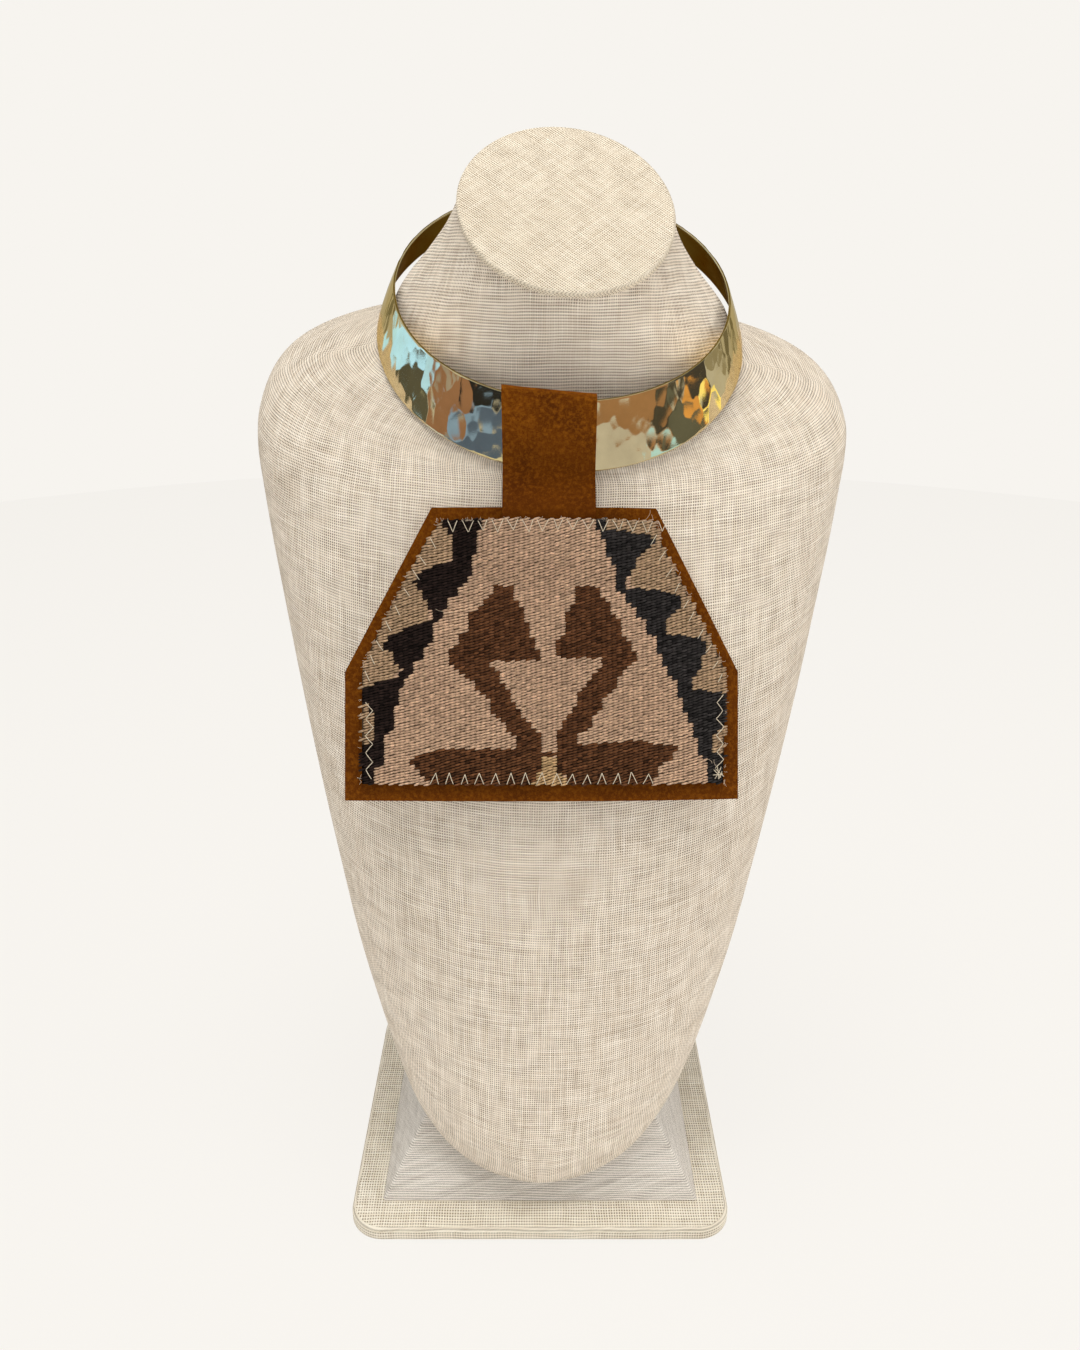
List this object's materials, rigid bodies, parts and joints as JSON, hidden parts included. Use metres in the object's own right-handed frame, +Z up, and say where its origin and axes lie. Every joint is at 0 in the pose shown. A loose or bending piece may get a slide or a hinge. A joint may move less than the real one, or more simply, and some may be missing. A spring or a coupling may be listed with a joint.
{
  "type": "bib necklace on a neck bust",
  "caption": "Flared brass collar with a folded suede strap carrying a suede bib faced with a kilim piece, on a linen-covered neck bust with plinth and base plate.",
  "frame": {"origin": "centre of the base plate's underside, at the middle of its width and depth", "axes": "+Z up, -Y towards the viewer in front of the bib, +X to the viewer's right"},
  "size_m": [0.2415, 0.17, 0.4534],
  "materials": {
    "base_linen": "coarse natural linen",
    "bust_linen": "open plain-weave linen",
    "collar_brass": "hammered and polished outside, plain satin inside",
    "bib_suede": "rust brown suede",
    "kilim_wool": "flat-woven wool in natural browns"
  },
  "bodies": {
    "root": {"base_plate": "base_linen", "plinth_block": "base_linen", "bust_form": "bust_linen", "neck_cap": "bust_linen", "collar": "collar_brass", "strap_loop": "bib_suede", "backing": "bib_suede", "kilim": "kilim_wool"}
  },
  "joints": []
}
